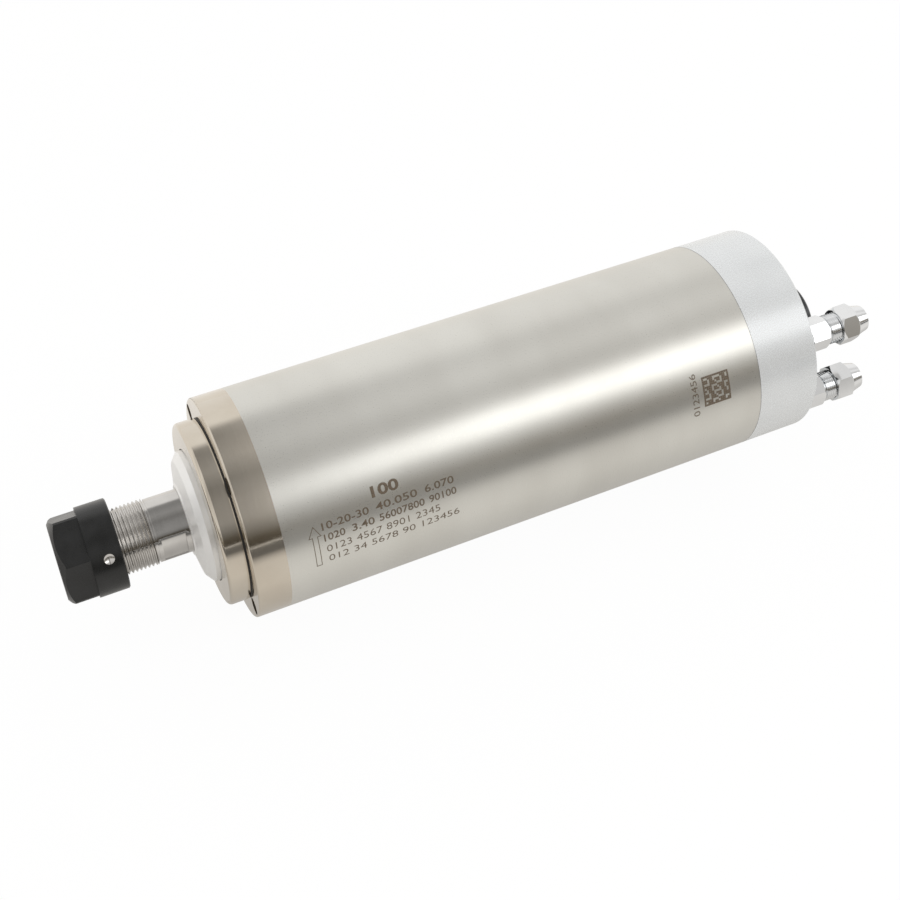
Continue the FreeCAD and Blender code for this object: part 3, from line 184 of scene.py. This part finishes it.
class Finish(Nodes):
    """A material whose pattern follows Object coordinates."""

    def __init__(self, name, colour, metallic, roughness, **fixed):
        self.material = bpy.data.materials.new(name)
        self.material.use_nodes = True
        super().__init__(self.material.node_tree)
        self.shader = self.tree.nodes["Principled BSDF"]
        self.shader.inputs["Base Color"].default_value = (*colour, 1)
        self.shader.inputs["Metallic"].default_value = metallic
        self.shader.inputs["Roughness"].default_value = roughness
        for key, value in fixed.items():
            self.shader.inputs[key.replace("_", " ")].default_value = value
        self.place = self.node("TexCoord").outputs["Object"]
        self.last_normal = None

    def noise(self, scale, stretch=(1, 1, 1), detail=3.0):
        """Noise with so many grains a metre, stretched along some axes."""
        mapping = self.node("Mapping")
        mapping.inputs["Scale"].default_value = stretch
        self.link(self.place, mapping.inputs["Vector"])
        noise = self.node("TexNoise")
        noise.inputs["Scale"].default_value = scale
        noise.inputs["Detail"].default_value = detail
        self.link(mapping.outputs["Vector"], noise.inputs["Vector"])
        return noise.outputs["Fac"]

    def tinted(self, value, dark, light, start=0.3, end=0.7):
        """The base colour runs from dark to light with a value."""
        ramp = self.node("ValToRGB")
        ramp.color_ramp.elements[0].position = start
        ramp.color_ramp.elements[0].color = (*dark, 1)
        ramp.color_ramp.elements[1].position = end
        ramp.color_ramp.elements[1].color = (*light, 1)
        self.link(value, ramp.inputs["Fac"])
        self.link(ramp.outputs["Color"], self.shader.inputs["Base Color"])

    def rough(self, value, low, high):
        self.link(self.ranged(value, low, high), self.shader.inputs["Roughness"])

    def mixed(self, first, second, share):
        """Two shaders mixed by a fixed or a linked share of the second."""
        mix = self.node("MixShader")
        if isinstance(share, float):
            mix.inputs["Fac"].default_value = share
        else:
            self.link(share, mix.inputs["Fac"])
        self.link(first, mix.inputs[1])
        self.link(second, mix.inputs[2])
        return mix.outputs["Shader"]

    def relief(self, height, strength, depth):
        """Bump of a depth in millimetres, on top of any bump before it."""
        bump = self.node("Bump")
        bump.inputs["Strength"].default_value = strength
        bump.inputs["Distance"].default_value = depth * MM
        self.link(height, bump.inputs["Height"])
        if self.last_normal:
            self.link(self.last_normal, bump.inputs["Normal"])
        self.last_normal = bump.outputs["Normal"]
        self.link(self.last_normal, self.shader.inputs["Normal"])


LATHE = (1.0, 0.012, 0.012)
FINE_DEPTH = 0.02


def turned_metal(name, dark, light, roughness, lines=5200, cut=0.10):
    """Metal with fine lathe lines round the spindle axis and slightly uneven polish."""
    finish = Finish(name, light, 1.0, roughness)
    trace = finish.noise(lines, LATHE, 2.0)
    cloud = finish.noise(55, detail=4.0)
    finish.tinted(cloud, dark, light, 0.35, 0.65)
    finish.rough(trace, roughness * 0.88, roughness * 1.14)
    finish.relief(trace, cut, FINE_DEPTH)
    return finish.material


def satin_casing(name, dark, light):
    """Satin nickel-plated steel: a fine sparkling grain over soft lathe lines."""
    finish = Finish(name, light, 1.0, 0.3)
    cloud = finish.noise(38, (1, 0.35, 0.35))
    grain = finish.noise(3400, detail=2.0)
    spark = finish.noise(1500, detail=1.0)
    lathe = finish.noise(3200, LATHE, 2.0)
    finish.tinted(cloud, dark, light, 0.35, 0.65)
    finish.rough(grain, 0.27, 0.36)
    finish.relief(lathe, 0.07, FINE_DEPTH)
    finish.relief(grain, 0.09, FINE_DEPTH)
    finish.relief(spark, 0.05, 0.03)
    return finish.material


def cast_grain_metal(name, dark, light, roughness, grain, depth, metallic=1.0, cut=0.35):
    """Blasted or frosted metal with an even fine grain."""
    finish = Finish(name, light, metallic, roughness)
    fine = finish.noise(grain)
    cloud = finish.noise(70)
    finish.tinted(cloud, dark, light, 0.35, 0.65)
    finish.rough(fine, roughness * 0.85, roughness * 1.15)
    finish.relief(fine, cut, depth)
    return finish.material


def black_oxide(name, base, worn, roughness):
    """Blackened steel with an oily gloss, a little greyer where it's handled."""
    finish = Finish(name, base, 0.0, roughness, IOR=1.48)
    cloud = finish.noise(160, detail=5.0)
    fine = finish.noise(3800, detail=2.0)
    finish.tinted(cloud, base, worn, 0.40, 0.78)
    finish.rough(cloud, roughness * 0.9, roughness * 1.15)
    finish.relief(fine, 0.22, FINE_DEPTH)
    return finish.material


def moulded(name, dark, light, roughness, depth=FINE_DEPTH, metallic=0.0):
    """Moulded plastic, rubber or paint with an uneven fine skin."""
    finish = Finish(name, light, metallic, roughness)
    fine = finish.noise(2600)
    cloud = finish.noise(90)
    finish.tinted(cloud, dark, light)
    finish.rough(fine, roughness * 0.88, roughness * 1.12)
    finish.relief(fine, 0.25, depth)
    return finish.material


def stacked_plates(name, dark, light):
    """The edges of thin electrical steel plates, stacked along the axis."""
    finish = Finish(name, light, 0.85, 0.42)
    layers = finish.node("TexWave", wave_type="BANDS", bands_direction="X")
    layers.inputs["Scale"].default_value = 320
    layers.inputs["Distortion"].default_value = 0.4
    finish.link(finish.place, layers.inputs["Vector"])
    cloud = finish.noise(120, detail=4.0)
    finish.tinted(cloud, dark, light)
    finish.rough(cloud, 0.36, 0.5)
    finish.relief(layers.outputs["Fac"], 0.5, 0.08)
    return finish.material


def wound_wire(name, dark, light):
    """Varnished wire bundles, with strands round the axis."""
    finish = Finish(name, light, 0.8, 0.35, Coat_Weight=0.4, Coat_Roughness=0.2)
    strands = finish.noise(900, (1, 0.25, 0.25), 2.0)
    cloud = finish.noise(140)
    finish.tinted(cloud, dark, light)
    finish.rough(strands, 0.28, 0.46)
    finish.relief(strands, 0.8, 0.4)
    return finish.material


def burnt_mark(name, dark, light):
    """The burnt grey-brown of a laser mark."""
    finish = Finish(name, light, 0.35, 0.55)
    burn = finish.noise(2600)
    finish.tinted(burn, dark, light)
    finish.rough(burn, 0.45, 0.65)
    finish.relief(burn, 0.3, FINE_DEPTH)
    return finish.material


# Each finish: its maker, then its darker and lighter colour, and what else the maker takes
FINISHES = {
    "satin_casing": (satin_casing, (0.665, 0.655, 0.615), (0.715, 0.708, 0.668)),
    "polished_nickel": (turned_metal, (0.62, 0.56, 0.475), (0.67, 0.615, 0.53), 0.12),
    "satin_aluminium": (cast_grain_metal, (0.82, 0.845, 0.86), (0.85, 0.875, 0.89), 0.27, 3000, 0.01,
                        0.2, 0.04),
    "frosted_aluminium": (cast_grain_metal, (0.93, 0.93, 0.92), (0.97, 0.97, 0.965), 0.34, 1300, 0.22, 0.5),
    "jacket_aluminium": (turned_metal, (0.66, 0.67, 0.68), (0.74, 0.75, 0.76), 0.3),
    "bearing_steel": (turned_metal, (0.66, 0.67, 0.68), (0.74, 0.75, 0.76), 0.1),
    "shaft_steel": (turned_metal, (0.56, 0.545, 0.525), (0.66, 0.645, 0.625), 0.13),
    "collet_steel": (turned_metal, (0.58, 0.58, 0.57), (0.66, 0.66, 0.65), 0.2),
    "black_oxide": (black_oxide, (0.007, 0.0075, 0.0075), (0.016, 0.0165, 0.017), 0.27),
    "screw_black": (black_oxide, (0.03, 0.03, 0.033), (0.10, 0.10, 0.105), 0.36),
    "lamination_steel": (stacked_plates, (0.22, 0.23, 0.25), (0.38, 0.39, 0.41)),
    "winding_copper": (wound_wire, (0.42, 0.14, 0.05), (0.72, 0.30, 0.13)),
    "cage_aluminium": (cast_grain_metal, (0.60, 0.61, 0.62), (0.72, 0.73, 0.74), 0.4, 1500, 0.06),
    "bearing_cage_resin": (moulded, (0.22, 0.12, 0.05), (0.36, 0.21, 0.10), 0.5),
    "chrome_fitting": (turned_metal, (0.78, 0.79, 0.80), (0.86, 0.87, 0.88), 0.08, 3600, 0.06),
    "ferrule_brass": (turned_metal, (0.62, 0.45, 0.18), (0.80, 0.62, 0.30), 0.22),
    "seal_rubber": (moulded, (0.018, 0.018, 0.018), (0.035, 0.035, 0.035), 0.6),
    "spring_steel": (turned_metal, (0.44, 0.45, 0.47), (0.56, 0.57, 0.59), 0.28),
    "socket_shell_black": (moulded, (0.045, 0.048, 0.052), (0.085, 0.088, 0.092), 0.3, 0.01, 0.6),
    "socket_insert_black": (moulded, (0.022, 0.022, 0.022), (0.045, 0.045, 0.045), 0.5),
    "contact_gold": (turned_metal, (0.78, 0.56, 0.20), (0.90, 0.70, 0.32), 0.16),
    "lead_red": (moulded, (0.42, 0.03, 0.03), (0.56, 0.06, 0.05), 0.35),
    "lead_black": (moulded, (0.02, 0.02, 0.02), (0.05, 0.05, 0.05), 0.35),
    "lead_blue": (moulded, (0.03, 0.09, 0.34), (0.06, 0.15, 0.48), 0.35),
    "lead_green": (moulded, (0.05, 0.24, 0.07), (0.10, 0.38, 0.12), 0.35),
    "etched_mark": (burnt_mark, (0.125, 0.095, 0.065), (0.24, 0.19, 0.14)),
}

finishes = {name: make(name, *values) for name, (make, *values) in FINISHES.items()}
slot_of = {s["node"]: s["material_slot"] for s in frame["record"]["subparts"]}

for node_name, cad_piece in nodes.items():
    cad_piece.data.materials.clear()
    cad_piece.data.materials.append(finishes[slot_of[node_name]])


# Camera, light and floor

def photo_camera():
    """The camera at the photograph's viewing angle."""
    data = bpy.data.cameras.new("photo_camera")
    data.sensor_width = SENSOR_WIDTH
    data.lens = FOCAL_PIXELS / PICTURE_PIXELS * SENSOR_WIDTH
    data.shift_x, data.shift_y = CAMERA_SHIFT
    data.clip_start = 0.01
    camera = bpy.data.objects.new("photo_camera", data)
    turn = Matrix((CAMERA_RIGHT, CAMERA_UP, -CAMERA_AHEAD)).transposed().to_4x4()
    camera.matrix_world = Matrix.Translation(CAMERA_PLACE) @ turn
    bpy.context.scene.collection.objects.link(camera)
    bpy.context.scene.camera = camera


def soft_box(name, place, target, size, strength):
    """A rectangular lamp that faces its target, with power by its area and its first side by the spindle."""
    data = bpy.data.lights.new(name, "AREA")
    data.shape = "RECTANGLE"
    data.size, data.size_y = size
    data.energy = strength * math.pi * size[0] * size[1]
    lamp = bpy.data.objects.new(name, data)
    way = (Vector(target) - Vector(place)).normalized()
    side = AXIS - way * AXIS.dot(way)
    side.normalize()
    turn = Matrix((side, (-way).cross(side), -way)).transposed().to_4x4()
    lamp.matrix_world = Matrix.Translation(Vector(place)) @ turn
    bpy.context.scene.collection.objects.link(lamp)


def studio_world():
    """A room that the camera sees white, and that lights the spindle and shows in its metal in greys.

    The greys follow the angle about the spindle's axis. A darker strip crosses them where a direction's X is
    near STRIP_X, from the height that STRIP_START gives behind the spindle, over the top, to the viewer's
    horizon. Greys and strip are set to the reflections in the photograph's one view. They aren't
    taken from the real studio, and metal doesn't reflect the white that the camera sees.
    """
    world = bpy.data.worlds.new("studio")
    bpy.context.scene.world = world
    world.use_nodes = True
    room = Nodes(world.node_tree)
    split = room.node("SeparateXYZ")
    room.link(room.node("TexCoord").outputs["Generated"], split.inputs["Vector"])
    angle = room.calculated("ARCTAN2", split.outputs["Z"], split.outputs["Y"])
    share = room.calculated("DIVIDE", angle, math.pi)
    greys = room.grey_ramp(share, ROOM_STOPS, ROOM_TONE, ROOM_WARMTH)
    aside = room.calculated("ABSOLUTE", room.calculated("SUBTRACT", split.outputs["X"], STRIP_X))
    across = room.ranged(aside, STRIP_GREY, 1.0, *STRIP_HALF_WIDTHS)
    behind = room.ranged(share, 1.0, 0.0, *STRIP_START)
    shade = room.node("VectorMath", operation="SCALE")
    room.link(greys, shade.inputs[0])
    room.link(room.calculated("MAXIMUM", across, behind), shade.inputs["Scale"])
    mix = room.node("Mix", data_type="RGBA")
    room.link(room.node("LightPath").outputs["Is Camera Ray"], mix.inputs["Factor"])
    room.link(shade.outputs["Vector"], mix.inputs[6])
    mix.inputs[7].default_value = (1, 1, 1, 1)
    background = room.tree.nodes["Background"]
    room.link(mix.outputs[2], background.inputs["Color"])
    background.inputs["Strength"].default_value = 1.0


def pale_floor():
    """The floor, which is no part of the object.

    The camera sees mostly an even white glow, which leaves next to nothing of the object's shadow. All
    other rays meet a glow in greys over Y, set to the reflections in the photograph's one view.
    """
    bm = bmesh.new()
    bmesh.ops.create_grid(bm, x_segments=1, y_segments=1, size=FLOOR_HALF_SIZE)
    bmesh.ops.translate(bm, verts=bm.verts, vec=(FLOOR_MIDDLE_X, 0, FLOOR_Z))
    mesh = bpy.data.meshes.new("floor")
    bm.to_mesh(mesh)
    bm.free()
    floor = bpy.data.objects.new("floor", mesh)
    bpy.context.scene.collection.objects.link(floor)
    finish = Finish("pale_floor", (0.9, 0.9, 0.9), 0.0, 0.8)
    finish.tinted(finish.noise(30), (0.885, 0.885, 0.885), (0.9, 0.9, 0.9))
    seen = finish.node("Emission")
    seen.inputs["Strength"].default_value = SEEN_STRENGTH
    split = finish.node("SeparateXYZ")
    finish.link(finish.place, split.inputs["Vector"])
    share = finish.ranged(split.outputs["Y"], 0.0, 1.0, -FLOOR_REACH, FLOOR_REACH)
    glow = finish.node("Emission")
    glow.inputs["Strength"].default_value = 1.0
    finish.link(finish.grey_ramp(share, FLOOR_STOPS, FLOOR_TONE), glow.inputs["Color"])
    shaded = finish.shader.outputs["BSDF"]
    to_camera = finish.mixed(shaded, seen.outputs["Emission"], SEEN_SHARE)
    to_others = finish.mixed(shaded, glow.outputs["Emission"], GLOW_SHARE)
    both = finish.mixed(to_others, to_camera, finish.node("LightPath").outputs["Is Camera Ray"])
    finish.link(both, finish.tree.nodes["Material Output"].inputs["Surface"])
    mesh.materials.append(finish.material)


bpy.context.scene.view_settings.view_transform = "Standard"
photo_camera()
studio_world()
pale_floor()
soft_box("key_box", KEY_BOX_PLACE, KEY_BOX_TARGET, KEY_BOX_SIZE, KEY_BOX_STRENGTH)


# New pieces

def finished(bm, name, body, slot, sharp=32.0):
    """Makes a mesh piece of a bmesh, smooth but for its sharp edges, and sets it on a body."""
    bmesh.ops.remove_doubles(bm, verts=bm.verts, dist=1e-7)
    bmesh.ops.recalc_face_normals(bm, faces=bm.faces)
    for face in bm.faces:
        face.smooth = True
    for edge in bm.edges:
        edge.smooth = len(edge.link_faces) == 2 and edge.calc_face_angle(0) < math.radians(sharp)
    mesh = bpy.data.meshes.new(name)
    bm.to_mesh(mesh)
    bm.free()
    piece = bpy.data.objects.new(name, mesh)
    bpy.context.scene.collection.objects.link(piece)
    mesh.materials.append(finishes[slot])
    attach(piece, body)
    return piece


def spun(bm, profile, y=0.0, z=0.0, steps=192, ring=True):
    """Turns an (x, radius) profile about an axis along X through y, z; without ring, it ends on the axis."""
    corners = [bm.verts.new(Vector((px, y + r, z)) * MM) for px, r in profile]
    edges = [bm.edges.new((a, b)) for a, b in zip(corners, corners[1:] + corners[:1])]
    if not ring:
        bm.edges.remove(edges.pop())
    bmesh.ops.spin(bm, geom=corners + edges, cent=Vector((0, y, z)) * MM, axis=AXIS, angle=math.tau,
                   steps=steps, use_merge=True)


def thread_ridge(bm, x0, x1, major, minor, pitch, y=0.0, z=0.0, steps=40):
    """A screw thread's ridge, wound from x0 to x1 and sunk a little into a core of the minor radius."""
    root = minor - 0.06
    crest = pitch * 0.07
    foot = pitch * 0.46
    profile = ((x0 - foot, root), (x0 - crest, major), (x0 + crest, major), (x0 + foot, root))
    corners = [bm.verts.new(Vector((px, y + r, z)) * MM) for px, r in profile]
    start = bm.faces.new(corners)
    turns = (x1 - x0) / pitch
    count = int(steps * turns)
    swept = bmesh.ops.spin(bm, geom=list(start.verts) + list(start.edges), cent=Vector((0, y, z)) * MM,
                           axis=AXIS, dvec=AXIS * (x1 - x0) / count * MM, angle=math.tau * turns, steps=count)
    last = [v for v in swept["geom_last"] if isinstance(v, bmesh.types.BMVert)]
    bmesh.ops.contextual_create(bm, geom=last)


def cad_copy(node):
    """A merged copy of a CAD node's mesh."""
    bm = bmesh.new()
    bm.from_mesh(nodes[node].data)
    bmesh.ops.remove_doubles(bm, verts=bm.verts, dist=2e-6)
    return bm


def cut_away(bm, x, keep_above):
    """Cuts a mesh at a station and closes the two round edges that the cut leaves."""
    geom = list(bm.verts) + list(bm.edges) + list(bm.faces)
    cut = bmesh.ops.bisect_plane(bm, geom=geom, dist=1e-7, plane_co=(x * MM, 0, 0), plane_no=AXIS,
                                 clear_inner=keep_above, clear_outer=not keep_above)
    rims = [e for e in cut["geom_cut"] if isinstance(e, bmesh.types.BMEdge)]
    bmesh.ops.bridge_loops(bm, edges=rims)


def threaded_shaft():
    """The shaft with its nose thread: the nose from the thread on is made anew, the rest is the CAD shaft."""
    cut_x = THREAD_START_X - 0.05
    taper_end_x = THREAD_START_X - 1.9
    chamfer_length, chamfer_depth = 1.2, 0.9
    bm = cad_copy("spindle_shaft")
    cut_away(bm, cut_x, True)
    spun(bm, ((NOSE_END_X + chamfer_length, NOSE_MINOR_R), (NOSE_END_X, NOSE_MINOR_R - chamfer_depth),
              (NOSE_END_X, TAPER_MOUTH_R), (taper_end_x, SHAFT_BORE_R), (cut_x, SHAFT_BORE_R),
              (cut_x, NOSE_MINOR_R)))
    thread_ridge(bm, NOSE_END_X + 1.6, THREAD_START_X - 0.6, NOSE_MAJOR_R, NOSE_MINOR_R, NOSE_PITCH, steps=64)
    piece = finished(bm, "threaded_shaft", "shaft", "shaft_steel", 40)
    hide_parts("spindle_shaft")


def threaded_fitting(side):
    """A hose fitting: the CAD's stub and hexagon, with the outside thread made anew."""
    place = turned_place(0, FITTING_RADIUS, FITTING_ANGLES[side]) / MM
    bore_x = FITTING_END_X - HOSE_BORE_LEN
    chamfer_length, chamfer_depth, mouth_depth = 0.5, 0.25, 1.1
    bm = cad_copy(side + "_fitting")
    cut_away(bm, FITTING_THREAD_X + 0.1, False)
    spun(bm, ((FITTING_THREAD_X, FITTING_WATER_R), (FITTING_THREAD_X, FITTING_MINOR_R),
              (FITTING_END_X - chamfer_length, FITTING_MINOR_R),
              (FITTING_END_X, FITTING_MINOR_R - chamfer_depth),
              (FITTING_END_X - mouth_depth, HOSE_BORE_R), (bore_x, HOSE_BORE_R), (bore_x, FITTING_WATER_R)),
         place.y, place.z, 64)
    thread_ridge(bm, FITTING_THREAD_X + 0.6, FITTING_END_X - 0.9, FITTING_MAJOR_R, FITTING_MINOR_R,
                 FITTING_PITCH, place.y, place.z)
    piece = finished(bm, side + "_threaded_fitting", "spindle_body", "chrome_fitting", 40)
    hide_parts(side + "_fitting")


def painted_gap_shade_ring(name, x0, x1, inner, outer):
    """Painted shade: a black ring in the seal rubber finish, put where the gap between two round pieces of
    the body lies in shadow.
    """
    bm = bmesh.new()
    spun(bm, ((x0, inner), (x0, outer), (x1, outer), (x1, inner)))
    finished(bm, name, "spindle_body", "seal_rubber")


def balance_mark():
    """The bright drill point of the balance mark in the nut's skirt."""
    tip, rim, skin, sunk = 1.29, 1.97, 0.09, 0.01
    bm = bmesh.new()
    spun(bm, ((-tip, 0), (-sunk, rim), (-sunk, rim - skin), (skin - tip, 0)), steps=48, ring=False)
    turn = math.radians(NUT_MARK_ANGLE)
    outward = Vector((0, math.cos(turn), math.sin(turn)))
    aim = Matrix((outward, AXIS, outward.cross(AXIS))).transposed().to_4x4()
    shift = Matrix.Translation(turned_place(NUT_MARK_X, NUT_MARK_R, NUT_MARK_ANGLE))
    bmesh.ops.transform(bm, matrix=shift @ aim, verts=bm.verts)
    finished(bm, "nut_balance_mark", "collet_nut", "shaft_steel")


# Marks etched on the casing

MARK_PROUD = 0.012
MARK_DEPTH = 0.25
MARK_SLICE = 0.6
ROW_START_X = 14.2
ROW_LEAN = 0.022

# Each row: its angle, the figures' height and boldness, then text, station and length of each number
NUMBER_ROWS = {
    "row_a": (159.0, 3.0, 0.012, (("10-20-30", 14.2, 18.0), ("40.050", 34.8, 16.2), ("6.070", 54.0, 11.4))),
    "row_b": (165.2, 3.0, 0.012, (("1020", 14.3, 8.0), ("3.40", 25.0, 8.6), ("56007800", 35.5, 17.6),
                                  ("90100", 55.0, 10.7))),
    "row_c": (171.6, 2.9, -0.006, (("0123 4567 8901 2345", 14.6, 44.0),)),
    "row_d": (177.8, 2.9, -0.006, (("012 34 5678 90 123456", 14.9, 51.0),)),
}


def etched(bm, name, x, angle, length, height, lean=0.0, around=False):
    """Stretches a flat mark to its size and wraps it on the casing, with all but its face sunk in."""
    low = Vector([min(v.co[k] for v in bm.verts) for k in range(2)])
    span = Vector([max(v.co[k] for v in bm.verts) for k in range(2)]) - low
    for vert in bm.verts:
        vert.co.x = (vert.co.x - low.x) / span.x * length
        vert.co.y = (vert.co.y - low.y) / span.y * height
    way = Vector((1, 0, 0) if around else (0, 1, 0))
    reach = length if around else height
    for cut in range(1, math.ceil(reach / MARK_SLICE)):
        bmesh.ops.bisect_plane(bm, geom=list(bm.verts) + list(bm.edges) + list(bm.faces), dist=1e-5,
                               plane_co=way * cut * MARK_SLICE, plane_no=way)
    for vert in bm.verts:
        along, rise = vert.co.x, vert.co.y + lean * vert.co.x
        station, arc = (x - rise, along) if around else (x + along, rise)
        radius = CASING_R + MARK_PROUD - (0 if vert.co.z > 0 else MARK_DEPTH)
        vert.co = turned_place(station, radius, angle - math.degrees(arc / CASING_R))
    finished(bm, name, "spindle_body", "etched_mark")


def figures(text, weight=0.0):
    """Flat plain figures with a little thickness."""
    curve = bpy.data.curves.new("figures", "FONT")
    curve.body = text
    curve.extrude = 0.1
    curve.offset = weight
    curve.resolution_u = 3
    holder = bpy.data.objects.new("figures", curve)
    bpy.context.scene.collection.objects.link(holder)
    mesh = bpy.data.meshes.new_from_object(holder.evaluated_get(bpy.context.evaluated_depsgraph_get()))
    bm = bmesh.new()
    bm.from_mesh(mesh)
    bpy.data.objects.remove(holder)
    bpy.data.curves.remove(curve)
    bpy.data.meshes.remove(mesh)
    bmesh.ops.remove_doubles(bm, verts=bm.verts, dist=1e-5)
    return bm


def sunk_depth(bm):
    """Gives the flat faces of a mark their thickness, downwards."""
    swept = bmesh.ops.extrude_face_region(bm, geom=list(bm.faces))
    lower = [v for v in swept["geom"] if isinstance(v, bmesh.types.BMVert)]
    bmesh.ops.translate(bm, verts=bm.verts, vec=(0, 0, 1))
    bmesh.ops.translate(bm, verts=lower, vec=(0, 0, -2))


def turning_arrow():
    """An outlined arrow round the casing: the way the shaft turns."""
    half_shaft, half_head, neck, tip, line = 1.1, 2.45, 12.8, 17.4, 0.27
    outline = ((-half_shaft, 0), (half_shaft, 0), (half_shaft, neck), (half_head, neck), (0, tip),
               (-half_head, neck), (-half_shaft, neck))
    bm = bmesh.new()
    face = bm.faces.new([bm.verts.new((u, v, 0)) for u, v in outline])
    face.normal_update()
    bmesh.ops.inset_region(bm, faces=[face], thickness=line, use_boundary=True, use_even_offset=True)
    bmesh.ops.delete(bm, geom=[face], context="FACES_ONLY")
    sunk_depth(bm)
    etched(bm, "turning_arrow", 8.65, 178.6, 2 * half_head, tip)


def checker_square():
    """A square of small cells in a plain repeating order."""
    cells, gap = 15, 0.04
    bm = bmesh.new()
    bmesh.ops.create_grid(bm, x_segments=cells, y_segments=cells, size=cells / 2)
    spare = []
    for face in bm.faces:
        centre = face.calc_center_median()
        i, j = round(centre.x + cells / 2 - 0.5), round(centre.y + cells / 2 - 0.5)
        rim = min(i, j, cells - 1 - i, cells - 1 - j) == 0
        if not rim and (i * i + 3 * j + i * j) % 7 > 3:
            spare.append(face)
    bmesh.ops.delete(bm, geom=spare, context="FACES")
    rings = bmesh.ops.inset_individual(bm, faces=list(bm.faces), thickness=gap)["faces"]
    bmesh.ops.delete(bm, geom=rings, context="FACES")
    sunk_depth(bm)
    etched(bm, "checker_square", 170.6, 164.2, 11.8, 12.3)


def casing_marks():
    """Rows of plain numbers in the places of the etched lines, the arrow and the checker."""
    for row, (angle, height, weight, numbers) in NUMBER_ROWS.items():
        for k, (text, x, length) in enumerate(numbers):
            lean_back = math.degrees(ROW_LEAN * (x - ROW_START_X) / CASING_R)
            etched(figures(text, weight), f"{row}_{k + 1}", x, angle - lean_back, length, height, ROW_LEAN)
    etched(figures("100", 0.03), "large_number", 34.4, 151.4, 10.6, 4.4, ROW_LEAN)
    etched(figures("0123456"), "rear_number", 168.4, 168.2, 17.6, 2.7, around=True)
    turning_arrow()
    checker_square()


threaded_shaft()
for fitting_side in FITTING_ANGLES:
    threaded_fitting(fitting_side)
balance_mark()
# Painted shade: black rings in the gaps at the seams
for ring_name, ring_sizes in GAP_SHADE_RINGS.items():
    painted_gap_shade_ring(ring_name, *ring_sizes)
casing_marks()
